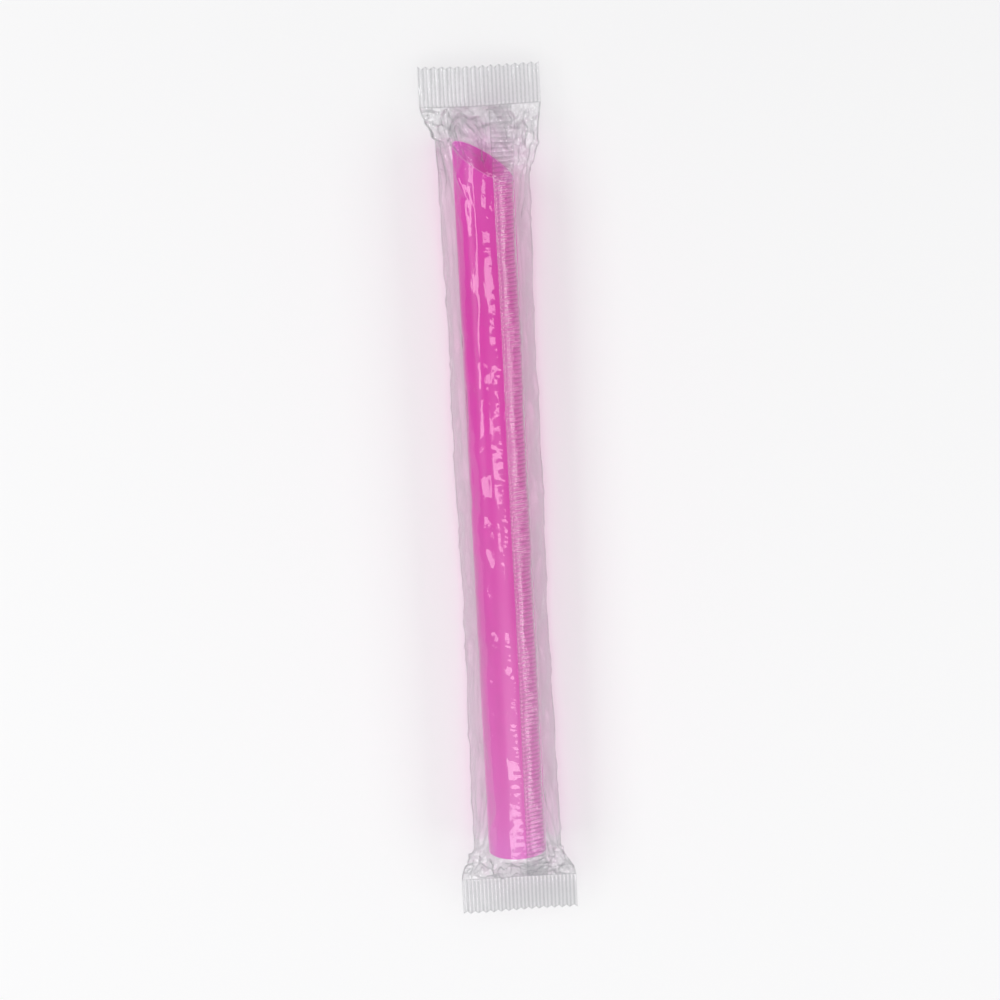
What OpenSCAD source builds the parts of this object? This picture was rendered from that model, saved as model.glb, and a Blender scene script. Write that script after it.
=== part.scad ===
// Wide drinking straw, sealed by itself in a clear film wrapper and lying on its side.
// +X runs along the straw to its slanted point and +Z is up. The origin is on the
// resting plane, under the middle of the wrapper.

/* [Straw] */
// Outside diameter of the tube
straw_d = 12; // [8:0.5:14]
// Thickness of the tube's wall
straw_wall = 0.3; // [0.2:0.05:0.8]
// Length from the square end to the tip of the point
straw_len = 150; // [110:5:240]
// Slope of the pointed end, measured from a square cut
cut_angle = 33; // [0:1:45]
// How far the point is rolled below the side of the straw
cut_roll = 15; // [-60:5:60]

/* [Film tube] */
// Thickness of one layer of film
film_t = 0.1; // [0.06:0.01:0.16]
// Play between the straw and the film drawn over it
film_gap = 0.2; // [0.15:0.05:0.6]
// Girth of the film tube beyond one turn round the straw
film_slack = 8.4; // [5:0.2:14]
// Width of the strip of film that lies on the table
rest_w = 9; // [6:0.5:10]
// Height of the side creases over the table at mid-length
crease_h = 2.2; // [1.2:0.1:3]
// Wander of the side creases, up and down
crease_wander = 0.5; // [0:0.1:0.8]
// Depth of the slanting buckles between crease and straw
buckle = 0.3; // [0:0.05:0.45]
// Length of one buckle along the straw
buckle_pitch = 17; // [12:1:30]

/* [Ends] */
// Empty film from the straw's end to the crimped seal
end_gap = 7; // [5:0.5:14]
// Length of the crimped seal along the wrapper
seal_len = 8; // [5:0.5:12]
// Height of the seals over the table
seal_h = 4.4; // [3:0.2:6]
// Depth of the pleats that gather the film into the seal
pleat = 0.5; // [0:0.05:0.7]
// Number of pleats across one face of the film
pleats = 4; // [2:1:5]
// Distance between the ribs crimped into the seals
rib_pitch = 0.8; // [0.7:0.1:1.2]
// Height of the crimped ribs, from valley to crest
rib_h = 0.3; // [0.1:0.05:0.4]
// Depth of the saw-toothed cut at the wrapper's ends
tooth = 0.6; // [0.3:0.1:1]

/* [Back seam] */
// Width of the seam that closes the film into a tube, folded flat
seam_w = 4.5; // [3:0.5:6]
// Place of the seam's root on the straw, in degrees round from the top
seam_turn = 18; // [5:1:30]
// Height that the seam's free edge springs off the film
seam_lift = 0.5; // [0.3:0.1:1]
// Distance between the ribs pressed across the seam
seam_rib_pitch = 2; // [1.6:0.2:3]
// Height of the ribs pressed across the seam
seam_rib_h = 0.16; // [0.06:0.02:0.24]

/* [Hidden] */
$fn = 96;
straw_colour = [0.86, 0.31, 0.69];
film_colour = [0.93, 0.92, 0.95, 0.35];

// Film drawn round the straw: its outer face has this radius, and the same height to the axis
wrap_r = straw_d / 2 + film_gap + film_t;
girth = 2 * PI * wrap_r + film_slack;
flat_w = girth / 2;
straw_end = straw_len / 2;
seal_x = straw_end + end_gap;
wrapper_end = seal_x + seal_len;
// The film starts to come down this far past the straw's rim
rim_clear = 0.6;
// Side creases: length of one wander as a share of the straw, its start in degrees, and how
// late they rise to the seals
wander_share = 0.43;
wander_start = 40;
rise_power = 4;
// Buckles lean by this many lengths in one girth, and pleats draw in by this power of the taper
buckle_lean = 3;
draw_power = 0.8;
// Pleats of the lower face: their number, and their depth as a share of the upper ones
lower_pleats = 1.5;
lower_share = 0.6;
// Facets: round the upper face, on each lower flat, and along each zone of the wrapper
top_n = 20;
side_n = 2;
strip_n = 2;
run_n = 34;
taper_n = 6;
lower_n = 2 * side_n + strip_n;
ring_n = top_n + lower_n;
// The hollow ends this share of the way down each taper
hollow_share = 0.84;
// The seals and the seam run into the film by this much, so that all is one piece
bite = 0.8;
// A seal starts at this share of its width, and its ribs reach full height after this length
seal_start_share = 0.92;
rib_start = 0.2;
// Seal ribs fade by this power at the wrapper's sides
rib_fade = 0.3;
rib_n = 2 * round(flat_w / rib_pitch);
// Steps in the search for the side creases, and the short step that gives the film's slope
halvings = 24;
slope_step = 0.01;
// The seam's direction is taken this far beside its root, in places round the film
seam_step = 0.3;
// The seam's root sinks into the film by this share of a layer
root_sink = 0.3;
// Cutting tools reach this far past what they cut
past = 1;

function lerp(a, b, t) = a + (b - a) * t;
function clamp(v, lo, hi) = min(max(v, lo), hi);
function across(p) = [-p.y, p.x];
function unit(v) = v / norm(v);
function middle(ring) = [for (k = [0:2]) (min([for (p = ring) p[k]]) + max([for (p = ring) p[k]])) / 2];

// Film cross-section: taut over the straw, down to a crease at [c, h] on each side, flat below
function to_crease(c, h) = norm([c, h - wrap_r]);
function free_span(c, h) = sqrt(to_crease(c, h) ^ 2 - wrap_r ^ 2);
function touch_angle(c, h) = atan2(h - wrap_r, c) + acos(wrap_r / to_crease(c, h));
function arc_len(c, h) = wrap_r * (180 - 2 * touch_angle(c, h)) * PI / 180;
function upper_len(c, h) = 2 * free_span(c, h) + arc_len(c, h);
function lower_len(c, h) = 2 * norm([c - rest_w / 2, h]) + rest_w;

// The crease stands out to where the girth of the film runs out
function crease_y(h, lo = wrap_r + slope_step, hi = wrap_r + girth, n = halvings) =
    let(mid = (lo + hi) / 2)
    n == 0 ? mid :
    upper_len(mid, h) + lower_len(mid, h) > girth
        ? crease_y(h, lo, mid, n - 1)
        : crease_y(h, mid, hi, n - 1);

function crease_h_at(x) =
    let(rise = (seal_h - crease_h) * (x / seal_x) ^ rise_power)
    let(wander = sin(360 * x / (straw_len * wander_share) + wander_start) * (1 - (x / seal_x) ^ 2))
    crease_h + rise + crease_wander * wander;

// Point on the upper face, s millimetres from the -Y crease
function upper_point(c, h, s) =
    let(span = free_span(c, h), arc = arc_len(c, h), a = touch_angle(c, h))
    let(foot = wrap_r * [cos(a), 1 + sin(a)])
    s <= span ? let(t = s / span) [-lerp(c, foot.x, t), lerp(h, foot.y, t)] :
    s >= span + arc ? let(t = (s - span - arc) / span) [lerp(foot.x, c, t), lerp(foot.y, h, t)] :
    let(b = 180 - a - (s - span) / wrap_r * 180 / PI) wrap_r * [cos(b), 1 + sin(b)];

// How freely a point of the upper face buckles: not at all on the straw or at a crease
function looseness(c, h, s) =
    let(span = free_span(c, h), from_crease = min(s, upper_len(c, h) - s))
    from_crease >= span ? 0 : sin(180 * from_crease / span);

function upper_film(x, share) =
    let(h = crease_h_at(x), c = crease_y(h), s = upper_len(c, h) * share)
    let(p = upper_point(c, h, s), q = upper_point(c, h, s + slope_step))
    let(wave = buckle * sin(360 * (x / buckle_pitch + s / girth * buckle_lean)))
    p + across(unit(q - p)) * wave * looseness(c, h, s);

function lower_film(x, i) =
    let(h = crease_h_at(x), c = crease_y(h), edge = rest_w / 2)
    i < side_n ? lerp([c, h], [edge, 0], i / side_n) :
    i <= side_n + strip_n ? [lerp(edge, -edge, (i - side_n) / strip_n), 0] :
    lerp([-edge, 0], [-c, h], (i - side_n - strip_n) / side_n);

// The same film pressed flat for the seal, two layers thick between its edges
function flat_film(i) =
    let(y = i <= top_n ? lerp(-flat_w / 2, flat_w / 2, i / top_n)
                       : lerp(flat_w / 2, -flat_w / 2, (i - top_n) / lower_n))
    [y, seal_h + film_t * (i == 0 || i == top_n ? 0 : i < top_n ? 1 : -1)];

// Pleats between straw and seal, as a share of their depth, none at the creases
function pleat_wave(i) = i > top_n ? lower_share * sin(360 * lower_pleats * (i - top_n) / lower_n)
                                   : -cos(360 * pleats * i / top_n) * sin(180 * i / top_n);

// Where the straw itself ends, seen along X from a point of the film
function point_end(p) =
    let(r = p.x * cos(cut_roll) - (p.y - wrap_r) * sin(cut_roll))
    straw_end - (straw_d / 2 - clamp(r, -straw_d / 2, straw_d / 2)) * tan(cut_angle);

// Film point at ring u and place i round the ring. Rings 0 to run_n lie over the straw and
// follow its slanted mouth; rings beyond them run down to the seals.
function film_point(u, i) =
    let(v = clamp(u / run_n, 0, 1), x = lerp(-straw_end, straw_end, v))
    let(p = i <= top_n ? upper_film(x, i / top_n) : lower_film(x, i - top_n))
    let(start = [lerp(-straw_end - rim_clear, point_end(p) + rim_clear, v), p.x, p.y])
    let(t = max(-u, u - run_n, 0) / taper_n, flat = flat_film(i))
    t == 0 ? start :
    [lerp(start.x, (u < 0 ? -1 : 1) * seal_x, t), lerp(p.x, flat.x, t ^ draw_power),
        lerp(p.y, flat.y, t) + pleat * sin(180 * t) * pleat_wave(i)];

function film_rings() = [for (u = [-taper_n:run_n + taper_n]) [for (i = [0:ring_n - 1]) film_point(u, i)]];

// The inner face: a ring drawn in by one layer of film
function drawn_in(ring) = [for (i = [0:ring_n - 1])
    let(a = ring[(i + ring_n - 1) % ring_n], p = ring[i], b = ring[(i + 1) % ring_n])
    let(m = across(unit([p.y - a.y, p.z - a.z])), n = across(unit([b.y - p.y, b.z - p.z])))
    let(inset = (m + n) * film_t / (1 + m * n))
    [p.x, p.y - inset.x, p.z - inset.y]];

// Closed skin over rings of equal count. A ribbon's ends are closed across its two faces, and
// a tube's ends round their middles.
module skin(rings, ribbon = false) {
    n = len(rings[0]);
    last = n * (len(rings) - 1);
    hub = n * len(rings);
    hubs = ribbon ? [] : [middle(rings[0]), middle(rings[len(rings) - 1])];
    walls = [for (j = [0:n:last - n], i = [0:n - 1])
        let(a = j + i, b = j + (i + 1) % n)
        each [[a, b, b + n], [a, b + n, a + n]]];
    ends = ribbon
        ? [for (i = [0:n / 2 - 2])
            let(a = i, b = i + 1, c = n - 2 - i, d = n - 1 - i)
            each [[c, b, a], [d, c, a], [last + a, last + b, last + c], [last + a, last + c, last + d]]]
        : [for (i = [0:n - 1])
            let(b = (i + 1) % n)
            each [[b, i, hub], [last + i, last + b, hub + 1]]];
    polyhedron(concat([for (ring = rings, p = ring) p], hubs), concat(walls, ends), convexity = 6);
}

module straw() {
    color(straw_colour)
    difference() {
        translate([-straw_end, 0, wrap_r])
            rotate([0, 90, 0])
                cylinder(d = straw_d, h = straw_len);
        translate([-straw_end - past, 0, wrap_r])
            rotate([0, 90, 0])
                cylinder(d = straw_d - 2 * straw_wall, h = straw_len + 2 * past);
        translate([straw_end - straw_d / 2 * tan(cut_angle), 0, wrap_r])
            rotate([-cut_roll, 0, 0])
                rotate([0, 0, -cut_angle])
                    translate([0, -straw_d * 2, -straw_d * 2])
                        cube(straw_d * 4);
    }
}

// Film tube without its hollow, pressed flat at both ends
module film_tube() {
    skin(film_rings());
}

module film_hollow() {
    depth = taper_n * hollow_share;
    skin([for (u = [-depth, each [1 - taper_n:run_n + taper_n - 1], run_n + depth])
        drawn_in([for (i = [0:ring_n - 1]) film_point(u, i)])]);
}

// Crimped seal: both layers pressed into ribs that run along the wrapper, with a toothed edge
function seal_row(side, x, rib, shrink) =
    let(rows = [for (i = [0:rib_n])
        let(y = lerp(-flat_w / 2, flat_w / 2, i / rib_n) * shrink)
        [side * x, y, seal_h + (i % 2 - 0.5) * rib * sin(180 * i / rib_n) ^ rib_fade]])
    concat([for (p = rows) p + [0, 0, film_t]], [for (i = [rib_n:-1:0]) rows[i] - [0, 0, film_t]]);

function toothed(row, side) = [for (i = [0:len(row) - 1])
    let(k = min(i, len(row) - 1 - i))
    row[i] - [side * tooth * (k % 4 < 2 ? k % 4 : 4 - k % 4) / 2, 0, 0]];

module end_seal(side) {
    rows = [seal_row(side, seal_x - bite, 0, seal_start_share),
        seal_row(side, seal_x + rib_start, rib_h, 1),
        toothed(seal_row(side, wrapper_end, rib_h, 1), side)];
    skin(side > 0 ? rows : [rows[2], rows[1], rows[0]], ribbon = true);
}

// Back seam: two layers folded down flat over the film, with ribs pressed across it
seam_place = let(h = crease_h, c = crease_y(h))
    top_n * (0.5 - wrap_r * seam_turn * PI / 180 / upper_len(c, h));

function seam_ring_at(x) =
    let(root = film_point(run_n / 2, seam_place))
    let(a = -straw_end - rim_clear, b = point_end([root.y, root.z]) + rim_clear)
    x < a ? -taper_n * (a - x) / (a + seal_x) :
    x > b ? run_n + taper_n * (x - b) / (seal_x - b) : run_n * (x - a) / (b - a);

function seam_row(x, rib) =
    let(u = clamp(seam_ring_at(x), -taper_n, run_n + taper_n))
    let(p = film_point(u, seam_place), q = film_point(u, seam_place - seam_step))
    let(d = unit([q.y - p.y, q.z - p.z]), n = -across(d), flat = max(-u, u - run_n, 0) / taper_n)
    let(spine = [for (s = [0, 0.5, 1] * seam_w)
        let(fall = (s ^ 2 / 2 / wrap_r - seam_lift * (s / seam_w) ^ 2) * (1 - flat))
        let(lift = s == 0 ? -root_sink * film_t : film_t + rib)
        [p.y, p.z] + d * s + n * (lift - fall)])
    concat([for (e = spine) [x, e.x + n.x * film_t, e.y + n.y * film_t]],
        [for (k = [2:-1:0]) [x, spine[k].x - n.x * film_t, spine[k].y - n.y * film_t]]);

module back_seam() {
    reach = seal_x + bite;
    steps = 2 * round(reach / seam_rib_pitch) + 1;
    skin([for (k = [steps:-1:-steps])
        seam_row(reach * k / steps, (abs(k) % 2 - 0.5) * seam_rib_h)], ribbon = true);
}

module film_wrapper() {
    color(film_colour)
    difference() {
        union() {
            film_tube();
            end_seal(-1);
            end_seal(1);
            back_seam();
        }
        film_hollow();
    }
}

straw();
film_wrapper();
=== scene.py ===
"""Looks of a wide pink drinking straw, sealed in a clear film wrapper that lies on a table."""

import logging
import math
from dataclasses import dataclass, field
from enum import Enum

import bpy
import numpy as np
from mathutils import Matrix, Vector


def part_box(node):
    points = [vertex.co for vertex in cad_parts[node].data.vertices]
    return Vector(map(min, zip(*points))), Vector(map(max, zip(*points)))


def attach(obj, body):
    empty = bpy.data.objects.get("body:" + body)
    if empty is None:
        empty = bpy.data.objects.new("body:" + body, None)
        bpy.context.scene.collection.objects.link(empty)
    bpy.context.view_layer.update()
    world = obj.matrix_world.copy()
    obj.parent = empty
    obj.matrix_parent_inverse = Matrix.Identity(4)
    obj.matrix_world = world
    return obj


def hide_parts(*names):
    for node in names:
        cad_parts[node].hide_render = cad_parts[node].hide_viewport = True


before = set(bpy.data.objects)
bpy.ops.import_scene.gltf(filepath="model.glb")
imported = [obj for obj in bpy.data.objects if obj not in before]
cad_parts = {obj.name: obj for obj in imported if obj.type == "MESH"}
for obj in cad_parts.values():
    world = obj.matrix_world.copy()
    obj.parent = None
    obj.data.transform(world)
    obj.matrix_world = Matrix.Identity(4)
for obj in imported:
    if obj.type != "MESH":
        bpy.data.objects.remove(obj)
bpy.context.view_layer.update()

LOG = logging.getLogger("wrapped_straw")
MM = 0.001
BODY = "root"
WHITE = (1.0, 1.0, 1.0, 1.0)
CREST_POWER = 1.4


class Side(Enum):
    """The two ends of the wrapper, by the sign of X."""

    SQUARE = -1
    TIP = 1


def lerp(a: np.ndarray, b: np.ndarray, t: np.ndarray) -> np.ndarray:
    """Returns the value that lies share t of the way from a to b."""
    return a + (b - a) * t


def wave(turns: np.ndarray) -> np.ndarray:
    """Returns a sine of whole turns."""
    return np.sin(2 * np.pi * turns)


def zigzag(turns: np.ndarray) -> np.ndarray:
    """Returns a triangle wave from -1 to 1, for creases with flat film between them."""
    return 4 * np.abs(np.mod(turns, 1) - 0.5) - 1


def fade(value: np.ndarray, start: float, end: float) -> np.ndarray:
    """Returns a smooth step from 0 at start to 1 at end."""
    t = np.clip((value - start) / (end - start), 0, 1)
    return t * t * (3 - 2 * t)


# Handling of Blender objects


def activate(piece: bpy.types.Object) -> None:
    """Selects one piece alone and makes it active.

    Args:
        piece: The object that the next operators act on.
    """
    bpy.ops.object.select_all(action="DESELECT")
    piece.select_set(True)
    bpy.context.view_layer.objects.active = piece


def apply_modifier(piece: bpy.types.Object, kind: str, **settings: object) -> None:
    """Adds a modifier to a piece and applies it.

    Args:
        piece: The object to change.
        kind: Blender's name for the modifier.
        **settings: Values for the modifier's own properties.
    """
    activate(piece)
    modifier = piece.modifiers.new(kind.title(), kind)
    for name, value in settings.items():
        setattr(modifier, name, value)
    bpy.ops.object.modifier_apply(modifier=modifier.name)


def thicken_film(piece: bpy.types.Object, thickness: float, offset: float) -> None:
    """Turns a sheet's faces the same way and gives it a thickness.

    Args:
        piece: The sheet.
        thickness: Its thickness in millimetres.
        offset: Solidify's offset, -1 for all of it behind the faces and 0 for half on each side.
    """
    activate(piece)
    bpy.ops.object.mode_set(mode="EDIT")
    bpy.ops.mesh.select_all(action="SELECT")
    bpy.ops.mesh.normals_make_consistent(inside=False)
    bpy.ops.object.mode_set(mode="OBJECT")
    apply_modifier(piece, "SOLIDIFY", thickness=thickness * MM, offset=offset)


def sheet_from_grid(name: str, grid: np.ndarray, closed: bool) -> bpy.types.Object:
    """Makes a sheet of quads over a grid of points.

    Args:
        name: The new piece's name.
        grid: Points in millimetres, as rows along the wrapper of places across it.
        closed: True where the last place of a row joins the first.

    Returns:
        The new piece, at the origin, with smooth shading.
    """
    rows, places, _ = grid.shape
    index = np.arange(rows * places).reshape(rows, places)
    across = index if closed else index[:, :-1]
    beside = np.roll(index, -1, axis=1) if closed else index[:, 1:]
    quads = np.stack([across[:-1], beside[:-1], beside[1:], across[1:]], axis=-1).reshape(-1, 4)
    mesh = bpy.data.meshes.new(name)
    mesh.from_pydata((grid.reshape(-1, 3) * MM).tolist(), [], quads.tolist())
    mesh.polygons.foreach_set("use_smooth", [True] * len(quads))
    mesh.update()
    piece = bpy.data.objects.new(name, mesh)
    bpy.context.collection.objects.link(piece)
    return piece


# Finishes


class NodeTree:
    """A material's nodes, added and joined in few words."""

    def __init__(self, name: str) -> None:
        """Starts an empty material.

        Args:
            name: The material's name.
        """
        self.material = bpy.data.materials.new(name)
        self.material.use_nodes = True
        self.tree = self.material.node_tree
        self.tree.nodes.clear()

    def add(self, kind: str, inputs: dict | None = None, **settings: object) -> bpy.types.Node:
        """Adds a node and sets or joins its inputs.

        Args:
            kind: Blender's name for the node, without ShaderNode.
            inputs: Values or output sockets, by input name or number.
            **settings: Values for the node's own properties.

        Returns:
            The new node.
        """
        node = self.tree.nodes.new(f"ShaderNode{kind}")
        for name, value in settings.items():
            setattr(node, name, value)
        for key, value in (inputs or {}).items():
            if isinstance(value, bpy.types.NodeSocket):
                self.tree.links.new(value, node.inputs[key])
            else:
                node.inputs[key].default_value = value
        return node

    # Numbers and patterns

    def math(self, operation: str, a: object, b: object = 0.0) -> bpy.types.NodeSocket:
        """Adds arithmetic on two values or sockets, by Blender's name for the operation."""
        return self.add("Math", {0: a, 1: b}, operation=operation).outputs[0]

    def spread(self, value: bpy.types.NodeSocket, was: tuple, now: tuple) -> bpy.types.NodeSocket:
        """Adds a node that spreads the range was over the range now, and stops at its ends."""
        ends = {"From Min": was[0], "From Max": was[1], "To Min": now[0], "To Max": now[1]}
        return self.add("MapRange", {"Value": value, **ends}).outputs["Result"]

    def along(self, axis: str) -> bpy.types.NodeSocket:
        """Adds the distance in metres from the piece's origin along one axis."""
        place = self.add("TexCoord").outputs["Object"]
        return self.add("SeparateXYZ", {0: place}).outputs[axis]

    def stretched(self, cells: tuple) -> bpy.types.NodeSocket:
        """Adds the place on the piece, in cells, with so many to each metre of X, Y and Z."""
        place = self.add("TexCoord").outputs["Object"]
        return self.add("Mapping", {"Vector": place, "Scale": cells}).outputs[0]

    def noise(self, cells: tuple, detail: float) -> bpy.types.NodeSocket:
        """Adds noise that is fixed to the piece.

        Args:
            cells: Cells in each metre along X, Y and Z.
            detail: Octaves of finer noise.

        Returns:
            The noise, from 0 to 1.
        """
        inputs = {"Vector": self.stretched(cells), "Scale": 1.0, "Detail": detail}
        return self.add("TexNoise", inputs).outputs["Fac"]

    def facets(self, cells: tuple, feature: str = "F1") -> bpy.types.NodeSocket:
        """Adds a pattern of many irregular facets.

        Args:
            cells: Facets in each metre along X, Y and Z.
            feature: Blender's name for the distance that counts, F1 from a facet's middle.

        Returns:
            The distance, from 0 to about 1.
        """
        inputs = {"Vector": self.stretched(cells), "Scale": 1.0}
        return self.add("TexVoronoi", inputs, feature=feature).outputs["Distance"]

    def edge_on(self, power: object, normal: bpy.types.NodeSocket) -> bpy.types.NodeSocket:
        """Adds a share that is 0 where the surface is seen straight on and 1 where it is seen edge on."""
        facing = self.add("LayerWeight", {"Blend": 0.5, "Normal": normal}).outputs["Facing"]
        return self.math("POWER", facing, power)

    # Colours and shaders

    def mixed(self, share: object, first: object, second: object) -> bpy.types.NodeSocket:
        """Adds a blend of two colours, the first where the share is 0."""
        return self.add("Mix", {0: share, 6: first, 7: second}, data_type="RGBA").outputs[2]

    def blend(self, share: object, first: object, second: object) -> bpy.types.NodeSocket:
        """Adds a blend of two shaders, the first where the share is 0."""
        return self.add("MixShader", {0: share, 1: first, 2: second}).outputs[0]

    def clear(self, tint: object) -> bpy.types.NodeSocket:
        """Adds a shader that light passes straight through, and takes a tint from."""
        return self.add("BsdfTransparent", {"Color": tint}).outputs[0]

    def gloss(self, roughness: float, normal: bpy.types.NodeSocket) -> bpy.types.NodeSocket:
        """Adds a shader that mirrors, more or less sharply."""
        inputs = {"Color": WHITE, "Roughness": roughness, "Normal": normal}
        return self.add("BsdfGlossy", inputs).outputs[0]

    def skin(self, outer: bpy.types.NodeSocket) -> bpy.types.NodeSocket:
        """Shades a thin wall once: where light enters it, and not again where it leaves.

        Args:
            outer: The wall's own shader.

        Returns:
            The shader of the whole wall.
        """
        leaving = self.add("NewGeometry").outputs["Backfacing"]
        return self.blend(leaving, outer, self.clear(WHITE))

    def finish(self, shader: bpy.types.NodeSocket) -> bpy.types.Material:
        """Joins the last shader to the output and returns the finished material."""
        self.add("OutputMaterial", {"Surface": shader})
        return self.material


@dataclass(frozen=True)
class StrawPlastic:
    """Translucent pink polypropylene with faint lines drawn along it by the extruder."""

    name: str = "straw_plastic"
    surface: tuple = (0.93, 0.005, 0.585, 1.0)
    # Painted light: the lighter colour towards the square foot stands in for light from the table, not for
    # a lighter plastic.
    painted_pale_foot: tuple = (1.0, 0.37, 0.85, 1.0)
    foot_span: tuple = (0.035, -0.07)
    foot_power: float = 1.4
    glow: tuple = (1.0, 0.06, 0.78, 1.0)
    glow_share: float = 0.5
    tint: tuple = (0.98, 0.20, 0.76, 1.0)
    clearness: float = 0.20
    # Less clear towards the foot, so that the painted light there shows less of the dark bore.
    foot_clearness: float = -0.10
    gloss: float = 0.045
    edge_gloss: float = 0.8
    gloss_roughness: float = 0.30
    drawn_lines: tuple = (8.0, 1400.0, 1400.0)
    clouds: tuple = (30.0, 90.0, 90.0)
    cloud_depth: float = 0.06

    def build(self) -> bpy.types.Material:
        """Builds the material, which is deep pink at the tip and lighter towards the square foot, as
        painted light from the table.
        """
        nodes = NodeTree(self.name)
        lines = nodes.noise(self.drawn_lines, 3.0)
        bump = nodes.add("Bump", {"Height": lines, "Strength": 0.10, "Distance": 0.0002})
        normal = bump.outputs["Normal"]
        # The share of painted light, 0 at the tip and 1 at the square foot.
        foot = nodes.spread(nodes.along("X"), self.foot_span, (0.0, 1.0))
        foot = nodes.math("POWER", foot, self.foot_power)
        colour = nodes.mixed(foot, self.surface, self.painted_pale_foot)
        depth = (1 - self.cloud_depth, 1 + self.cloud_depth)
        cloud = nodes.spread(nodes.noise(self.clouds, 2.0), (0.3, 0.7), depth)
        surface = nodes.add("HueSaturation", {"Color": colour, "Value": cloud}).outputs["Color"]
        diffuse = nodes.add("BsdfDiffuse", {"Color": surface, "Normal": normal}).outputs[0]
        glow = nodes.add("BsdfTranslucent", {"Color": self.glow, "Normal": normal}).outputs[0]
        body = nodes.blend(self.glow_share, diffuse, glow)
        ends = (self.clearness, self.clearness + self.foot_clearness)
        wall = nodes.blend(nodes.spread(foot, (0.0, 1.0), ends), body, nodes.clear(self.tint))
        mirror = nodes.spread(nodes.edge_on(5.0, normal), (0.0, 1.0), (self.gloss, self.edge_gloss))
        shade = nodes.blend(mirror, wall, nodes.gloss(self.gloss_roughness, normal))
        return nodes.finish(nodes.skin(shade))


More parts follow.
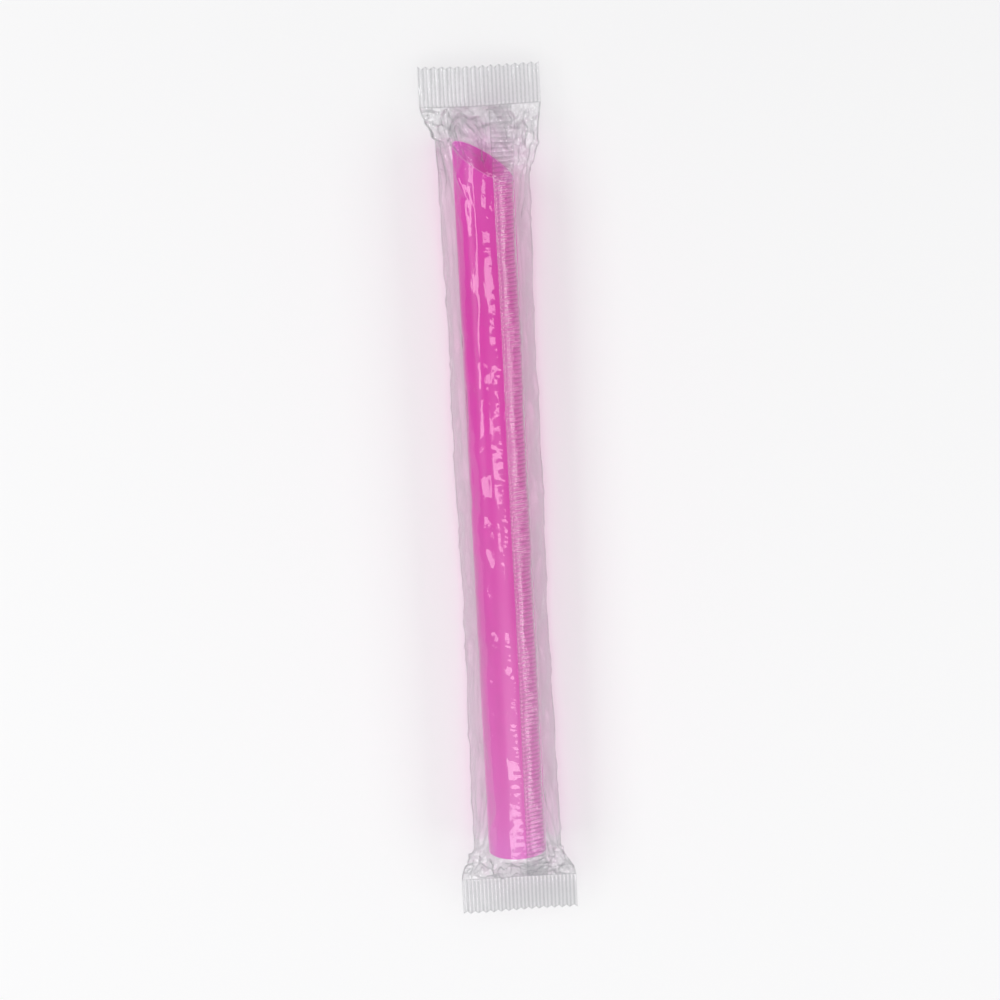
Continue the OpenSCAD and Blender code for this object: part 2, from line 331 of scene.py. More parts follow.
@dataclass(frozen=True)
class ClearFilm:
    """Crisp clear film: mirrors the lamps, is milky only where it is crumpled or crimped, and is darker at
    a slant, partly as painted shade.
    """

    name: str = "clear_film"
    # Seen at a slant the film is darker: partly real, as more light is mirrored away there, and partly
    # painted shade, so that slopes and creases show grey over the white table.
    straight: tuple = (0.983, 0.984, 0.986, 1.0)
    slanting: tuple = (0.42, 0.43, 0.44, 1.0)
    milky: tuple = (0.9, 0.9, 0.92, 1.0)
    slant_power: float = 1.9
    end_slant_power: float = 1.2
    haze: float = 0.006
    haze_spread: float = 0.04
    gloss: float = 0.065
    gloss_roughness: float = 0.05
    lamp_passes: float = 0.75
    grain: float = 0.16
    crumple: float = 0.10
    end_crumple: float = 1.0
    end_zone: tuple = (0.069, 0.079)
    zone_shift: float = 0.003
    # How much darker the crease lines are: painted shade.
    painted_crease_shade: float = 0.25
    crease_haze: float = 0.15
    # How much darker the ribs' valleys are: painted shade.
    painted_valley_shade: float = 0.45
    ribs_across: str = "Y"
    rib_pitch: float = 0.0

    def build(self) -> bpy.types.Material:
        """Builds the film's material."""
        nodes = NodeTree(self.name)
        grain = nodes.noise((260.0, 800.0, 800.0), 3.0)
        bump = nodes.add("Bump", {"Height": grain, "Strength": self.grain, "Distance": 0.0003})
        off = nodes.math("ABSOLUTE", nodes.math("ADD", nodes.along("X"), self.zone_shift))
        past = nodes.spread(off, self.end_zone, (self.crumple, self.end_crumple))
        # The slant darkens more past the straw's ends, where the film is crumpled; partly painted shade.
        power = nodes.spread(off, self.end_zone, (self.slant_power, self.end_slant_power))
        normal = self.crumpled(nodes, past, bump.outputs["Normal"])
        tint = nodes.mixed(nodes.edge_on(power, normal), self.straight, self.slanting)
        lines = nodes.math("MULTIPLY", self.crease_lines(nodes), past)
        # Darkens the crease lines: painted shade.
        tint = nodes.mixed(nodes.math("MULTIPLY", lines, self.painted_crease_shade), tint, self.slanting)
        cloud = nodes.noise((70.0, 160.0, 160.0), 4.0)
        haze = nodes.spread(cloud, (0.45, 0.8), (self.haze, self.haze + self.haze_spread))
        haze = nodes.math("ADD", haze, nodes.math("MULTIPLY", lines, self.crease_haze))
        # Pressed ribs get painted shade in their valleys.
        if self.rib_pitch:
            tint = self.ribbed(nodes, tint)
        milk = nodes.add("BsdfDiffuse", {"Color": self.milky, "Normal": normal}).outputs[0]
        veil = nodes.blend(haze, nodes.clear(tint), milk)
        mirror = nodes.spread(nodes.edge_on(4.0, normal), (0.0, 1.0), (self.gloss, 1.0))
        shade = nodes.blend(mirror, veil, nodes.gloss(self.gloss_roughness, normal))
        lamp_ray = nodes.add("LightPath").outputs["Is Shadow Ray"]
        lit = nodes.math("MULTIPLY", lamp_ray, self.lamp_passes)
        shade = nodes.blend(lit, shade, nodes.clear(WHITE))
        return nodes.finish(nodes.skin(shade))

    def crease_lines(self, nodes: NodeTree) -> bpy.types.NodeSocket:
        """Draws the fine broken lines along sharp creases, as a share that is 1 on a line: milky, as
        creased film whitens, and darker as painted shade.
        """
        lines = 0.0
        for cells, width in (((60.0, 230.0, 230.0), 0.03), ((190.0, 330.0, 330.0), 0.04)):
            edge = nodes.facets(cells, "DISTANCE_TO_EDGE")
            lines = nodes.math("MAXIMUM", nodes.spread(edge, (0.0, width), (1.0, 0.0)), lines)
        unbroken = nodes.spread(nodes.noise((120.0, 240.0, 240.0), 2.0), (0.48, 0.62), (0.0, 1.0))
        return nodes.math("MULTIPLY", lines, unbroken)

    def crumpled(
        self, nodes: NodeTree, past: bpy.types.NodeSocket, normal: bpy.types.NodeSocket
    ) -> bpy.types.NodeSocket:
        """Breaks the film into shallow facets, most of all past the straw's ends.

        Args:
            nodes: The material's nodes.
            past: How crumpled each place is, from 0 to 1.
            normal: The surface's normal so far.

        Returns:
            The normal of the crumpled film.
        """
        for cells, depth in (((110.0, 330.0, 330.0), 0.0007), ((330.0, 620.0, 620.0), 0.00025)):
            dent = {"Height": nodes.facets(cells), "Strength": past, "Distance": depth, "Normal": normal}
            normal = nodes.add("Bump", dent).outputs["Normal"]
        return normal

    def ribbed(self, nodes: NodeTree, tint: bpy.types.NodeSocket) -> bpy.types.NodeSocket:
        """Darkens the film in the valleys between pressed ribs, as painted shade.

        Args:
            nodes: The material's nodes.
            tint: The film's tint so far.

        Returns:
            The tint with the ribs' valleys in it.
        """
        turns = nodes.math("MULTIPLY", nodes.along(self.ribs_across), 2 * math.pi / (self.rib_pitch * MM))
        painted_rib_shade = nodes.spread(nodes.math("SINE", turns), (0.2, -1.0), (0.0, 0.7))
        return nodes.mixed(painted_rib_shade, tint, nodes.mixed(self.painted_valley_shade, tint, self.slanting))


# The straw


@dataclass
class Straw:
    """The straw: a thin tube, square at one end and cut on a slant at the other."""

    wall: float = 0.3
    cut_angle: float = 33.0
    cut_roll: float = 15.0
    sides: int = 160
    rim_round: float = 0.12
    cut_slope: float = 0.15
    low: Vector = field(default_factory=lambda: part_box("straw")[0] / MM)
    high: Vector = field(default_factory=lambda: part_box("straw")[1] / MM)

    @property
    def radius(self) -> float:
        """Outside radius in millimetres."""
        return (self.high.z - self.low.z) / 2

    @property
    def axis_height(self) -> float:
        """Height of the straw's axis over the table."""
        return (self.high.z + self.low.z) / 2

    @property
    def end(self) -> float:
        """Distance from the middle to the tip of the point."""
        return self.high.x

    def mouth_x(self, y: np.ndarray, z: np.ndarray) -> np.ndarray:
        """Finds where the straw ends at its slanted mouth.

        Args:
            y: Places across the straw.
            z: Heights over the table.

        Returns:
            The X of the cut, seen along X from each place.
        """
        roll = math.radians(self.cut_roll)
        reach = y * math.cos(roll) - (z - self.axis_height) * math.sin(roll)
        short = self.radius - np.clip(reach, -self.radius, self.radius)
        return self.end - short * math.tan(math.radians(self.cut_angle))

    def build(self) -> bpy.types.Object:
        """Models the tube: a round wall, bisected at the mouth, thickened and its rims rounded.

        Returns:
            The straw.
        """
        bpy.ops.object.select_all(action="DESELECT")
        bpy.ops.mesh.primitive_cylinder_add(
            vertices=self.sides,
            radius=self.radius * MM,
            depth=(self.high.x - self.low.x) * MM,
            end_fill_type="NOTHING",
            location=(0, 0, self.axis_height * MM),
            rotation=(0, math.pi / 2, 0),
        )
        piece = bpy.context.object
        piece.name = "slanted_straw"
        bpy.ops.object.transform_apply(location=True, rotation=True, scale=True)
        self.cut_mouth()
        apply_modifier(piece, "SOLIDIFY", thickness=self.wall * MM, offset=-1, use_even_offset=True)
        apply_modifier(
            piece, "BEVEL", width=self.rim_round * MM, segments=3, limit_method="ANGLE",
            angle_limit=math.radians(50),
        )
        activate(piece)
        bpy.ops.object.shade_smooth_by_angle(angle=math.radians(40))
        self.dress(piece)
        return piece

    def cut_mouth(self) -> None:
        """Cuts the active tube on a slant at its +X end."""
        angle = math.radians(self.cut_angle)
        roll = math.radians(self.cut_roll)
        facing = (math.cos(angle), -math.sin(angle) * math.cos(roll), math.sin(angle) * math.sin(roll))
        middle = self.end - self.radius * math.tan(angle)
        bpy.ops.object.mode_set(mode="EDIT")
        bpy.ops.mesh.select_all(action="SELECT")
        bpy.ops.mesh.bisect(
            plane_co=(middle * MM, 0, self.axis_height * MM), plane_no=facing, clear_outer=True
        )
        bpy.ops.mesh.select_all(action="SELECT")
        bpy.ops.mesh.normals_make_consistent(inside=False)
        bpy.ops.object.mode_set(mode="OBJECT")

    def dress(self, piece: bpy.types.Object) -> None:
        """Gives the outside, the bore and the cut edges their own colours: the bore's lighter colour is
        painted light and the cut edges' lighter still one is a painted highlight.

        Args:
            piece: The straw.
        """
        # The bore is the same plastic, made lighter and clearer as painted light for its shaded inside.
        bore = StrawPlastic(name="straw_bore_painted_light", surface=(1.0, 0.20, 0.80, 1.0), clearness=0.42)
        # The cut edges are the same plastic, made lighter as a painted highlight along the rims.
        edge = StrawPlastic(name="cut_edge_painted_highlight", surface=(1.0, 0.46, 0.86, 1.0), painted_pale_foot=(1.0, 0.50, 0.88, 1.0))
        for finish in (StrawPlastic(), bore, edge):
            piece.data.materials.append(finish.build())
        middle = self.axis_height * MM
        for face in piece.data.polygons:
            away = face.normal.y * face.center.y + face.normal.z * (face.center.z - middle)
            face.material_index = 2 if abs(face.normal.x) > self.cut_slope else int(away < 0)


# The wrapper


@dataclass
class Wrapper:
    """The film's form, drawn over the straw, with lengths in millimetres."""

    straw: Straw
    seal_len: float = 8.0
    seal_h: float = 4.4
    seal_bow: float = 0.35
    seal_sag: float = 0.45
    seal_droop: float = 0.9
    seal_lift: float = 0.3
    bow_turns: float = 0.42
    bow_shift: float = 0.15
    droop_slant: float = 0.35
    rest_w: float = 9.0
    crease_h: float = 2.2
    crease_wander: float = 0.5
    wander_share: float = 0.43
    wander_start: float = 40 / 360
    rim_clear: float = 0.6
    layer: float = 0.04
    pleat: float = 0.5
    pleats: int = 4
    rib_pitch: float = 0.8
    rib_h: float = 0.26
    tooth: float = 0.6
    seam_w: float = 4.5
    seam_turn: float = 18.0
    seam_lift: float = 0.5
    seam_rib_pitch: float = 0.9
    seam_rib_h: float = 0.18
    halvings: int = 40
    high: Vector = field(default_factory=lambda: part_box("film_wrapper")[1] / MM)

    def __post_init__(self) -> None:
        """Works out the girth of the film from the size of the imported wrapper."""
        self.wrap_r = self.high.z / 2
        self.half_flat = round(self.high.y, 1)
        self.girth = 4 * self.half_flat
        self.end = self.high.x
        self.seal_x = self.end - self.seal_len
        upper = self.upper_length(np.array([self.crease_h]))[0]
        self.upper_share = float(upper / self.girth)
        self.seam_share = float(0.5 - self.wrap_r * math.radians(self.seam_turn) / upper)

    # Cross-section over the straw

    def crease_height(self, x: np.ndarray) -> np.ndarray:
        """Returns the height of the side creases at x."""
        rise = (self.seal_h - self.crease_h) * (x / self.seal_x) ** 4
        turns = x / (self.straw.end * 2 * self.wander_share) + self.wander_start
        return self.crease_h + rise + self.crease_wander * wave(turns) * (1 - (x / self.seal_x) ** 2)

    def spans(self, c: np.ndarray, h: np.ndarray) -> tuple:
        """Measures the upper film between creases at (c, h).

        Args:
            c: Distance of the crease from the middle.
            h: Height of the crease.

        Returns:
            The free length from crease to straw, the angle where it touches, and the length on the straw.
        """
        reach = np.hypot(c, h - self.wrap_r)
        free = np.sqrt(np.maximum(reach**2 - self.wrap_r**2, 1e-9))
        touch = np.arctan2(h - self.wrap_r, c) + np.arccos(np.minimum(self.wrap_r / reach, 1))
        return free, touch, self.wrap_r * (np.pi - 2 * touch)

    def crease_reach(self, h: np.ndarray) -> np.ndarray:
        """Finds how far out the creases stand, where the film's girth runs out.

        Args:
            h: Heights of the creases.

        Returns:
            Their distances from the middle.
        """
        low = np.full(h.shape, self.wrap_r * 1.01)
        high = np.full(h.shape, self.wrap_r + self.girth)
        for _ in range(self.halvings):
            middle = (low + high) / 2
            free, _, arc = self.spans(middle, h)
            total = 2 * free + arc + 2 * np.hypot(middle - self.rest_w / 2, h) + self.rest_w
            low = np.where(total > self.girth, low, middle)
            high = np.where(total > self.girth, middle, high)
        return low

    def upper_length(self, h: np.ndarray) -> np.ndarray:
        """Returns the length of the upper film between creases at height h."""
        free, _, arc = self.spans(self.crease_reach(h), h)
        return 2 * free + arc

    def upper(self, x: np.ndarray, share: np.ndarray) -> tuple:
        """Places film over the straw.

        Args:
            x: Places along the wrapper.
            share: Places across it, from 0 at the -Y crease to 1 at the +Y one.

        Returns:
            The film's y and z, and how free of the straw it is, from 0 to 1.
        """
        h = self.crease_height(x)
        c = self.crease_reach(h)
        free, touch, arc = self.spans(c, h)
        s = (2 * free + arc) * share
        foot_y = self.wrap_r * np.cos(touch)
        foot_z = self.wrap_r * (1 + np.sin(touch))
        near = np.clip(s / free, 0, 1)
        far = np.clip((s - free - arc) / free, 0, 1)
        angle = np.pi - touch - (s - free) / self.wrap_r
        y = np.where(s < free, -lerp(c, foot_y, near), self.wrap_r * np.cos(angle))
        z = np.where(s < free, lerp(h, foot_z, near), self.wrap_r * (1 + np.sin(angle)))
        y = np.where(s > free + arc, lerp(foot_y, c, far), y)
        z = np.where(s > free + arc, lerp(foot_z, h, far), z)
        off = np.minimum(s, 2 * free + arc - s)
        return y, z, np.where(off < free, np.sin(np.pi * off / free), 0.0)

    def lower(self, x: np.ndarray, share: np.ndarray) -> tuple:
        """Places film under the straw.

        Args:
            x: Places along the wrapper.
            share: Places across it, from 0 at the +Y crease to 1 at the -Y one.

        Returns:
            The film's y and z, and how free of the table it is, from 0 to 1.
        """
        h = self.crease_height(x)
        c = self.crease_reach(h)
        edge = self.rest_w / 2
        slope = np.hypot(c - edge, h)
        s = (2 * slope + self.rest_w) * share
        down = np.clip(s / slope, 0, 1)
        up = np.clip((s - slope - self.rest_w) / slope, 0, 1)
        y = lerp(c, edge, down) - np.clip(s - slope, 0, self.rest_w) - (c - edge) * up
        z = h * (1 - down) + h * up
        return y, z, np.sin(np.pi * np.where(s < slope, down, up)) * 0.6

    def seal_mid(self, run: np.ndarray, y: np.ndarray, side: int) -> np.ndarray:
        """Bends a flat seal a little, as crisp film does.

        Args:
            run: Share of the seal's length, from the straw's side to the cut edge.
            y: Places across the wrapper.
            side: -1 for the square end, 1 for the tip's.

        Returns:
            Heights over the table.
        """
        across = y / self.half_flat
        turns = across * self.bow_turns + self.bow_shift * side
        bow = self.seal_bow * wave(turns) - self.seal_sag * across**2
        droop = -self.seal_droop * run**1.5 * (1 + self.droop_slant * side * across)
        return self.seal_h + bow * (1 + 0.5 * run) + droop + self.seal_lift

    def surface(self, row: np.ndarray, share: np.ndarray, under: bool) -> tuple:
        """Places film anywhere from seal to seal.

        Args:
            row: From 0 to 1 over the straw, down to -1 at the square end's seal and up to 2 at the tip's.
            share: Places across the upper or the lower film.
            under: True for the lower film.

        Returns:
            The film's x, y and z, how free it is, from 0 on the straw to 1, and how far down an end's
            taper it is, from 0 to 1.
        """
        v = np.clip(row, 0, 1)
        guess = lerp(-self.straw.end, self.straw.end, v)
        y, z, free = (self.lower if under else self.upper)(guess, share)
        start = -self.straw.end - self.rim_clear
        x = lerp(start, self.straw.mouth_x(y, z) + self.rim_clear, v)
        t = np.maximum(np.maximum(-row, row - 1), 0)
        side = np.where(row < 0.5, -1, 1)
        flat_y = lerp(-self.half_flat, self.half_flat, 1 - share if under else share)
        edge = np.clip(np.minimum(share, 1 - share) * 60, 0, 1)
        flat_z = self.seal_mid(0, flat_y, side) + (-1 if under else 1) * self.layer * edge
        fold = self.pleat * np.sin(np.pi * t)
        if under:
            fold = fold * 0.6 * wave(1.5 * share)
        else:
            fold = -fold * np.cos(2 * np.pi * self.pleats * share) * np.sin(np.pi * share)
        x = lerp(x, side * self.seal_x, t)
        return x, lerp(y, flat_y, t**0.8), lerp(z, flat_z, t) + fold, lerp(free, 1.0, t**0.5), t


@dataclass
class CreaseSet:
    """Many short sharp ridges, each one a line with a height, a width and a length."""

    x: np.ndarray
    s: np.ndarray
    turn: np.ndarray
    half: np.ndarray
    width: np.ndarray
    height: np.ndarray

    def lift(self, x: np.ndarray, s: np.ndarray) -> np.ndarray:
        """Adds up the ridges.

        Args:
            x: Places along the wrapper.
            s: Places round the film.

        Returns:
            How high each place is lifted.
        """
        total = np.zeros(x.shape)
        for cx, cs, turn, half, width, height in zip(
            self.x, self.s, self.turn, self.half, self.width, self.height
        ):
            along = (x - cx) * math.cos(turn) + (s - cs) * math.sin(turn)
            off = (s - cs) * math.cos(turn) - (x - cx) * math.sin(turn)
            crest = np.clip(1 - np.abs(off) / width, 0, 1) ** CREST_POWER
            total += height * crest * np.clip(1 - (along / half) ** 2, 0, 1)
        return total


@dataclass(frozen=True)
class Ridges:
    """A family of ridges: how many there are, and the least and the most of what each one has."""

    seed: int
    count: int
    turn: tuple
    half: tuple
    width: tuple
    height: tuple
    inset: float = 0.0

    def drawn(self, x: tuple, s: tuple, more: int = 0) -> CreaseSet:
        """Draws the ridges at random, the same at each run.

        Args:
            x: The least and the most place along the wrapper.
            s: The least and the most place round the film.
            more: What is added to the family's seed.

        Returns:
            The ridges.
        """
        chance = np.random.default_rng(self.seed + more)
        ranges = (x, s, self.turn, self.half, self.width, self.height)
        return CreaseSet(*(chance.uniform(low, high, self.count) for low, high in ranges))


@dataclass
class FilmTube:
    """The tube of film from seal to seal, with its long creases, ticks and crumpled ends."""

    wrapper: Wrapper
    upper_places: int = 82
    lower_places: int = 42
    run_rows: int = 300
    taper_rows: int = 40
    straw_clear: float = 0.12
    table_clear: float = 0.05

    # Buckles along the free film
    buckle: float = 0.45
    buckle_pitch: float = 17.0
    buckle_slant: float = 16.0
    ripple: float = 0.26
    ripple_pitch: float = 9.3
    ripple_slant: float = 24.0
    swell_pitch: float = 61.0
    crease_limit: float = 0.45
    press: float = 0.12
    root_calm: float = 0.15
    root_reach: float = 1.4

    # Ridges over the straw
    pulls: Ridges = Ridges(3, 90, (-0.07, 0.07), (8, 38), (1.0, 2.6), (0.10, 0.34), 1.5)
    ticks: Ridges = Ridges(8, 55, (1.2, 1.95), (0.5, 1.7), (0.5, 0.9), (0.05, 0.13), 3)
    leaves: Ridges = Ridges(21, 58, (0.4, 2.7), (3, 8), (1.6, 3.4), (0.12, 0.42), 2)
    right_puckers: Ridges = Ridges(61, 70, (0.3, 1.2), (1.2, 3.6), (0.8, 1.5), (0.10, 0.32))
    left_puckers: Ridges = Ridges(62, 70, (-1.2, -0.3), (1.2, 3.6), (0.8, 1.5), (0.10, 0.32))

    # Teeth beside the seam's root
    comb_seed: int = 14
    comb_teeth: int = 110
    comb_pitch: tuple = (0.9, 2.1)
    comb_half: tuple = (0.4, 0.9)
    comb_long_from: float = 0.75
    comb_long: float = 1.5
    comb_width: float = 0.55
    comb_height: tuple = (0.08, 0.2)

    # Ridges past the straw's ends
    gap_inset: float = 7.0
    loose_after: float = 0.15
    tight_before: float = 0.2
    crumples: Ridges = Ridges(31, 230, (-1.5, 1.5), (1.8, 5.5), (0.65, 1.3), (-0.6, 0.8))
    folds: Ridges = Ridges(71, 36, (-0.9, 0.9), (3, 7), (1.4, 2.8), (-0.5, 0.8))
    raised_pleats: Ridges = Ridges(91, 22, (-0.35, 0.35), (4, 9), (0.65, 1.0), (0.45, 0.95))
    sunk_pleats: Ridges = Ridges(101, 22, (-0.35, 0.35), (4, 9), (0.65, 1.0), (-0.7, -0.4))

    # Creases that fan out of the seals' corners
    fan_seed: int = 50
    fan_start: float = 11.0
    fan_turns: tuple = (0.16, 0.34, 0.6)
    fan_halves: tuple = (16.0, 13.0, 10.0)
    fan_widths: tuple = (1.2, 1.0, 1.0)
    fan_heights: tuple = (0.34, 0.28, 0.3)

    def grid(self) -> np.ndarray:
        """Lays out the film's points.

        Returns:
            Points in millimetres, as rows along the wrapper of places round it.
        """
        shape = self.wrapper
        taper = np.linspace(0, 1, self.taper_rows + 1)[1:]
        rows = np.concatenate([-taper[::-1], np.linspace(0, 1, self.run_rows), 1 + taper])
        above = np.linspace(0, 1, self.upper_places, endpoint=False)
        below = np.linspace(0, 1, self.lower_places, endpoint=False)
        halves = []
        for share, under in ((above, False), (below, True)):
            row_mesh, share_mesh = np.meshgrid(rows, share, indexing="ij")
            halves.append(np.stack(shape.surface(row_mesh, share_mesh, under), axis=-1))
        film = np.concatenate(halves, axis=1)
        points, free, t = film[..., :3], film[..., 3], film[..., 4]
        split = shape.upper_share
        places = np.concatenate([above * split, split + below * (1 - split)]) * shape.girth
        around = np.broadcast_to(places, free.shape)
        move = self.creased(points[..., 0], around, free, t)
        return self.kept_clear(points + self.normals(points) * move[..., None])

    def normals(self, points: np.ndarray) -> np.ndarray:
        """Returns the outward unit normal at each film point."""
        along = np.gradient(points, axis=0)
        across = np.roll(points, -1, axis=1) - np.roll(points, 1, axis=1)
        normal = np.cross(along, across)
        return normal / np.maximum(np.linalg.norm(normal, axis=-1, keepdims=True), 1e-9)

    def creased(self, x: np.ndarray, s: np.ndarray, free: np.ndarray, t: np.ndarray) -> np.ndarray:
        """Creases the film, outwards where the straw backs it and both ways where it hangs free.

        Args:
            x: Places along the wrapper.
            s: Places round the film.
            free: How free the film is, from 0 to 1.
            t: How far down an end taper the film is, from 0 to 1.

        Returns:
            How far each point moves outwards.
        """
        shape = self.wrapper
        top = shape.upper_share * shape.girth
        root = shape.seam_share * top
        run = (-shape.straw.end, shape.straw.end)
        turns = x / self.buckle_pitch + s / self.buckle_slant
        panel = self.buckle * (0.6 * zigzag(turns) + 0.4 * wave(turns))
        ripple = zigzag(x / self.ripple_pitch - s / self.ripple_slant + 0.3)
        panel += self.ripple * ripple * wave(x / self.swell_pitch + 0.2)
        pulls, ticks, leaves = (
            ridges.drawn(run, (ridges.inset, top - ridges.inset)).lift(x, s)
            for ridges in (self.pulls, self.ticks, self.leaves)
        )
        puckers = sum(
            ridges.drawn(run, (edge - 1, edge + 4)).lift(x, s)
            for ridges, edge in ((self.right_puckers, 0.0), (self.left_puckers, top - 3))
        )
        body = panel * (0.35 + 0.65 * free) + pulls * (0.6 + 0.4 * free) + ticks
        body = body + leaves * (0.5 + 0.5 * free) + puckers
        body = self.crease_limit * np.tanh(body / self.crease_limit) - self.press * (1 - free)
        beside = np.maximum(s - root, root - shape.seam_w - s)
        near_root = np.clip(beside / self.root_reach, self.root_calm, 1)
        ends = self.gathered(x, s, t)
        return body * (1 - t) * near_root + ends * near_root + self.comb(x, s) * (1 - t)

    def comb(self, x: np.ndarray, s: np.ndarray) -> np.ndarray:
        """Puckers the film beside the seam's root in teeth of uneven length.

        Args:
            x: Places along the wrapper.
            s: Places round the film.

        Returns:
            How far each point moves outwards.
        """
        shape = self.wrapper
        chance = np.random.default_rng(self.comb_seed)
        reach = shape.straw.end - 2
        place = np.cumsum(chance.uniform(*self.comb_pitch, self.comb_teeth)) - reach
        place = place[place < reach]
        count = len(place)
        root = shape.seam_share * shape.upper_share * shape.girth
        half = chance.uniform(*self.comb_half, count)
        half = half * np.where(chance.uniform(size=count) > self.comb_long_from, self.comb_long, 1.0)
        teeth = CreaseSet(
            place, root + 0.3 + half, chance.normal(1.57, 0.18, count), half,
            np.full(count, self.comb_width), chance.uniform(*self.comb_height, count),
        )
        return teeth.lift(x, s)

    def gathered(self, x: np.ndarray, s: np.ndarray, t: np.ndarray) -> np.ndarray:
        """Crumples the film past the straw's ends and pulls it towards the corners of the seals.

        Args:
            x: Places along the wrapper.
            s: Places round the film.
            t: How far down an end taper the film is, from 0 to 1.

        Returns:
            How far each point moves outwards.
        """
        shape = self.wrapper
        total = np.zeros(x.shape)
        loose = np.clip(t / self.loose_after, 0, 1) * np.clip((1 - t) / self.tight_before, 0, 1)
        for side in Side:
            inner, outer = side.value * (shape.straw.end - self.gap_inset), side.value * (shape.seal_x + 1)
            gap = (min(inner, outer), max(inner, outer))
            crumples, folds, raised, sunk = (
                ridges.drawn(gap, (0, shape.girth), side.value).lift(x, s)
                for ridges in (self.crumples, self.folds, self.raised_pleats, self.sunk_pleats)
            )
            total += (crumples + folds + (raised + sunk)) * loose
            total += self.fanned(x, s, side) * (1 - t) ** 0.5
        return total

    def fanned(self, x: np.ndarray, s: np.ndarray, side: Side) -> np.ndarray:
        """Draws the creases that fan out of a seal's corners, on both faces of the film.

        Args:
            x: Places along the wrapper.
            s: Places round the film.
            side: The end of the wrapper.

        Returns:
            How far each point moves outwards.
        """
        shape = self.wrapper
        top = shape.upper_share * shape.girth
        count = len(self.fan_turns)
        middle = side.value * (shape.seal_x - self.fan_start)
        chance = np.random.default_rng(self.fan_seed + side.value)
        total = np.zeros(x.shape)
        for corner, inward in ((0.0, 1), (top, -1), (top, 1), (shape.girth, -1)):
            fan = np.array(self.fan_turns) + chance.uniform(-0.06, 0.06, count)
            total += CreaseSet(
                np.full(count, middle), corner + inward * self.fan_start * np.tan(fan),
                -side.value * inward * fan, np.array(self.fan_halves), np.array(self.fan_widths),
                np.array(self.fan_heights),
            ).lift(x, s)
        return total

    def kept_clear(self, points: np.ndarray) -> np.ndarray:
        """Keeps the film off the straw and over the table.

        Args:
            points: The film's points.

        Returns:
            The points, moved out where they would touch.
        """
        straw = self.wrapper.straw
        y, z = points[..., 1], points[..., 2] - straw.axis_height
        off = np.hypot(y, z)
        least = straw.radius + self.straw_clear
        over = (points[..., 0] > -straw.end - 0.2) & (
            points[..., 0] < straw.mouth_x(y, points[..., 2]) + 0.2
        )
        scale = np.where(over & (off < least), least / np.maximum(off, 1e-6), 1.0)
        points[..., 1] *= scale
        points[..., 2] = np.maximum(straw.axis_height + z * scale, self.table_clear)
        return points

    def build(self) -> bpy.types.Object:
        """Models the film tube.

        Returns:
            The film tube, one layer thick, with the layer outside the grid's points.
        """
        piece = sheet_from_grid("film_tube", self.grid(), closed=True)
        thicken_film(piece, self.wrapper.layer, -1)
        return piece


@dataclass
class EndSeal:
    """A crimped seal: both layers pressed into ribs along the wrapper, cut with a toothed edge."""

    wrapper: Wrapper
    side: Side
    rows: int = 26
    points_per_rib: int = 6
    press_in: float = 0.7
    side_margin: float = 0.8

    def build(self) -> bpy.types.Object:
        """Models the seal.

        Returns:
            The seal, two layers thick.
        """
        shape = self.wrapper
        ribs = round(2 * shape.half_flat / shape.rib_pitch)
        run = np.linspace(0, 1, self.rows)
        y = np.linspace(-shape.half_flat, shape.half_flat, ribs * self.points_per_rib + 1)
        run_mesh, y_mesh = np.meshgrid(run, y, indexing="ij")
        teeth = 0.5 + 0.5 * zigzag(y_mesh / (2 * shape.rib_pitch))
        x = shape.seal_x + run_mesh * (shape.seal_len - shape.tooth * teeth)
        pressed = fade(run_mesh * shape.seal_len, 0.0, self.press_in)
        margin = fade(shape.half_flat - np.abs(y_mesh), 0, self.side_margin)
        turns = y_mesh / shape.rib_pitch
        rib = shape.rib_h / 2 * (0.8 * wave(turns) + 0.3 * wave(2 * turns))
        z = shape.seal_mid(run_mesh, y_mesh, self.side.value) + rib * pressed * margin
        grid = np.stack([x * self.side.value, y_mesh, z], axis=-1)
        piece = sheet_from_grid(f"{self.side.name.lower()}_end_seal", grid, closed=False)
        thicken_film(piece, 2 * shape.layer, 0)
        return piece


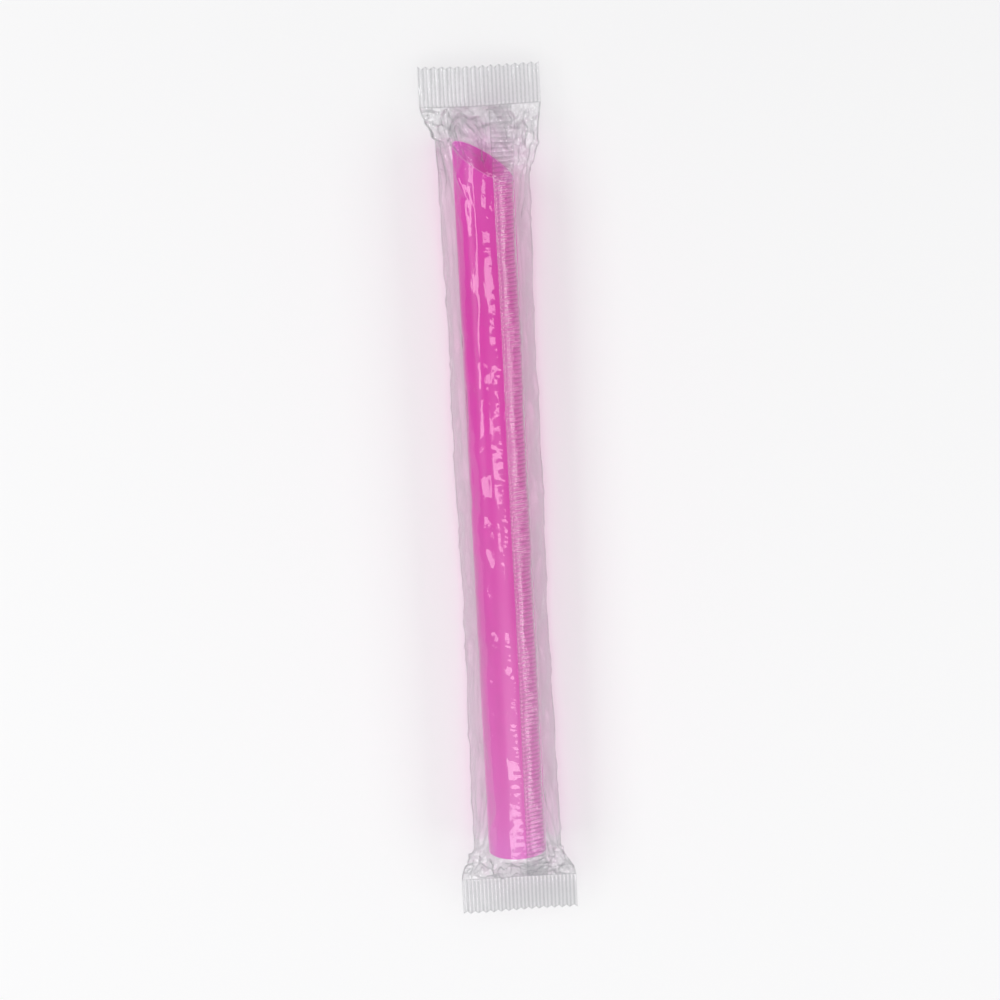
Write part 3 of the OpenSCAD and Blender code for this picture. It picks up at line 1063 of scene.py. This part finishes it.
@dataclass
class BackSeam:
    """The seam along the wrapper: two layers sealed with fine cross ribs and folded flat."""

    wrapper: Wrapper
    places: int = 9
    step: float = 0.12
    beside_share: float = 0.015
    off_film: float = 0.1
    long_bend: float = 0.22
    long_pitch: float = 37.0
    short_bend: float = 0.1
    short_pitch: float = 11.3
    edge_ripple: float = 0.12
    edge_pitch: float = 3.1

    def build(self) -> bpy.types.Object:
        """Models the seam.

        Returns:
            The seam, two layers thick.
        """
        shape = self.wrapper
        share = shape.seam_share
        reach = shape.seal_x
        count = round(2 * reach / self.step)
        x = np.linspace(-reach, reach, count)
        row = self.rows_at(x, share)
        root, beside = (
            np.stack(shape.surface(row, np.full(count, place), False)[:3], axis=-1)
            for place in (share, share - self.beside_share)
        )
        away = beside - root
        away[:, 0] = 0
        away /= np.linalg.norm(away, axis=-1, keepdims=True)
        out = np.stack([np.zeros(count), away[:, 2], -away[:, 1]], axis=-1)
        flat = np.clip(np.maximum(-row, row - 1), 0, 1)[:, None]
        s = np.linspace(0, shape.seam_w, self.places)[None, :]
        spring = shape.seam_lift + self.long_bend * wave(x / self.long_pitch + 0.3)
        spring = spring + self.short_bend * wave(x / self.short_pitch)
        fall = s**2 / 2 / shape.wrap_r * (1 - flat)
        fall = fall - spring[:, None] * (s / shape.seam_w) ** 2 * (1 - 0.8 * flat)
        rib = shape.seam_rib_h * np.maximum(wave(x / shape.seam_rib_pitch), 0)[:, None]
        rib = rib * fade(s, 0.3, 1.0)
        edge = self.edge_ripple * wave(x / self.edge_pitch)[:, None] * (s / shape.seam_w) ** 2
        height = self.off_film * fade(s, 0.0, 0.5) + rib + edge - fall
        grid = root[:, None, :] + away[:, None, :] * s[..., None] + out[:, None, :] * height[..., None]
        grid[..., 0] = x[:, None]
        piece = sheet_from_grid("back_seam", grid, closed=False)
        thicken_film(piece, 2 * shape.layer, 0)
        return piece

    def rows_at(self, x: np.ndarray, share: float) -> np.ndarray:
        """Finds the film row that lies at each x along the seam's root.

        Args:
            x: Places along the wrapper.
            share: The seam's place across the upper film.

        Returns:
            Rows as the wrapper's surface takes them.
        """
        shape = self.wrapper
        start, first = -shape.straw.end - shape.rim_clear, shape.seal_x
        last = float(shape.surface(np.array([1.0]), np.array([share]), False)[0][0])
        over = (x - start) / (last - start)
        before = (x - start) / (first + start)
        after = 1 + (x - last) / (first - last)
        return np.where(x < start, before, np.where(x > last, after, over))


# The studio


@dataclass
class Studio:
    """A white table, soft lamps and the camera that looks down on the straw."""

    lean: float = 2.9
    tilt: float = 17.0
    distance: float = 0.8
    lens: float = 142.0
    aim: tuple = (0.001, 0.0, 0.006)
    table_size: float = 4.0
    table_white: float = 0.99
    far_white: tuple = (0.96, 0.96, 0.965, 1.0)
    far_from: tuple = (0.28, 0.75)
    ambient: tuple = (0.505, 0.505, 0.51, 1.0)
    film_layers: int = 32

    def floor(self) -> None:
        """Lays a wide white table, which looks plain white far from the wrapper."""
        bpy.ops.object.select_all(action="DESELECT")
        bpy.ops.mesh.primitive_plane_add(size=self.table_size, location=(0, 0, 0))
        floor = bpy.context.object
        floor.name = "table"
        nodes = NodeTree("table_white")
        white = (self.table_white, self.table_white, self.table_white, 1)
        near = nodes.add("BsdfDiffuse", {"Color": white}).outputs[0]
        far = nodes.add("Emission", {"Color": self.far_white, "Strength": 1.0}).outputs[0]
        reach = nodes.add(
            "VectorMath", {0: nodes.add("TexCoord").outputs["Object"]}, operation="LENGTH"
        ).outputs["Value"]
        rays = nodes.add("LightPath").outputs
        seen = nodes.math("MAXIMUM", rays["Is Camera Ray"], rays["Is Glossy Ray"])
        seen = nodes.math("MAXIMUM", seen, rays["Is Transmission Ray"])
        share = nodes.math("MULTIPLY", nodes.spread(reach, self.far_from, (0.0, 1.0)), seen)
        floor.data.materials.append(nodes.finish(nodes.blend(share, near, far)))

    def lamp(self, name: str, place: tuple, size: tuple, power: float) -> None:
        """Hangs a soft rectangular lamp that faces the straw.

        Args:
            name: The lamp's name.
            place: Its place in metres.
            size: Its width along Y and its length in metres.
            power: Its power in watts.
        """
        data = bpy.data.lights.new(name, "AREA")
        data.shape = "RECTANGLE"
        data.size, data.size_y = size
        data.energy = power
        lamp = bpy.data.objects.new(name, data)
        back = Vector(place).normalized()
        up = (Vector((1, 0, 0)) - back * back.x).normalized()
        turn = Matrix((up.cross(back), up, back)).transposed().to_4x4()
        lamp.matrix_world = Matrix.Translation(place) @ turn
        bpy.context.collection.objects.link(lamp)

    def lights(self) -> None:
        """Hangs the lamps: a long one on each side, two overhead and a small bright one."""
        self.lamp("left_soft_box", (0.10, 0.66, 0.48), (0.26, 0.7), 1.7)
        self.lamp("right_soft_box", (-0.05, -0.68, 0.42), (0.24, 0.7), 1.18)
        self.lamp("overhead", (-0.56, 0.0, 0.84), (0.7, 0.25), 1.6)
        self.lamp("overhead_strip", (-0.19, -0.04, 0.86), (0.5, 0.12), 0.58)
        self.lamp("sparkle", (0.25, 0.25, 0.85), (0.07, 0.07), 0.35)
        world = bpy.data.worlds.new("studio")
        world.use_nodes = True
        world.node_tree.nodes["Background"].inputs["Color"].default_value = self.ambient
        bpy.context.scene.world = world

    def camera(self) -> None:
        """Sets the camera over the straw, tipped towards its slanted end."""
        tilt = math.radians(self.tilt)
        lean = math.radians(self.lean)
        back = Vector((math.sin(tilt), 0, math.cos(tilt)))
        up = Vector((math.cos(tilt), 0, -math.sin(tilt)))
        up = up * math.cos(lean) + up.cross(back) * math.sin(lean)
        data = bpy.data.cameras.new("camera")
        data.lens = self.lens
        data.clip_start = 0.01
        camera = bpy.data.objects.new("camera", data)
        turn = Matrix((up.cross(back), up, back)).transposed().to_4x4()
        camera.matrix_world = Matrix.Translation(Vector(self.aim) + back * self.distance) @ turn
        bpy.context.collection.objects.link(camera)
        bpy.context.scene.camera = camera

    def build(self) -> None:
        """Builds the whole studio."""
        self.camera()
        self.floor()
        self.lights()
        bpy.context.scene.view_settings.view_transform = "Standard"
        bpy.context.scene.cycles.transparent_max_bounces = self.film_layers


def place(piece: bpy.types.Object, slot: str, node: str) -> None:
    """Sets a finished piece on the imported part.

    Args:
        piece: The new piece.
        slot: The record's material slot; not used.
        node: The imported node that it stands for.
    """
    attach(piece, BODY)
    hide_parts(node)
    LOG.info("%s: %d faces", piece.name, len(piece.data.polygons))


def main() -> None:
    """Builds the studio, the straw and its wrapper, in that order."""
    logging.basicConfig(level=logging.INFO, format="%(message)s")
    Studio().build()
    straw = Straw()
    place(straw.build(), "straw_plastic", "straw")
    wrapper = Wrapper(straw)
    tube = FilmTube(wrapper).build()
    tube.data.materials.append(ClearFilm().build())
    # The seals' film is greyer, as two pressed layers are, and darker at a slant, partly as painted shade.
    crimped = ClearFilm(
        name="crimped_film", straight=(0.90, 0.90, 0.91, 1.0), slanting=(0.30, 0.31, 0.32, 1.0),
        slant_power=1.2, haze=0.02, haze_spread=0.05, gloss_roughness=0.08, end_crumple=0.1,
        rib_pitch=wrapper.rib_pitch,
    ).build()
    # The seam's film is darker at a slant, partly as painted shade.
    ribbed = ClearFilm(
        name="ribbed_film", straight=(0.96, 0.955, 0.96, 1.0), slanting=(0.55, 0.55, 0.57, 1.0),
        slant_power=1.6, haze=0.05, haze_spread=0.06, gloss=0.09, gloss_roughness=0.08, end_crumple=0.1,
        ribs_across="X", rib_pitch=wrapper.seam_rib_pitch,
    ).build()
    sealed = [EndSeal(wrapper, side).build() for side in Side] + [BackSeam(wrapper).build()]
    for piece, finish in zip(sealed, (crimped, crimped, ribbed)):
        piece.data.materials.append(finish)
    for piece in [tube] + sealed:
        place(piece, "clear_film", "film_wrapper")


if __name__ == "__main__":
    main()
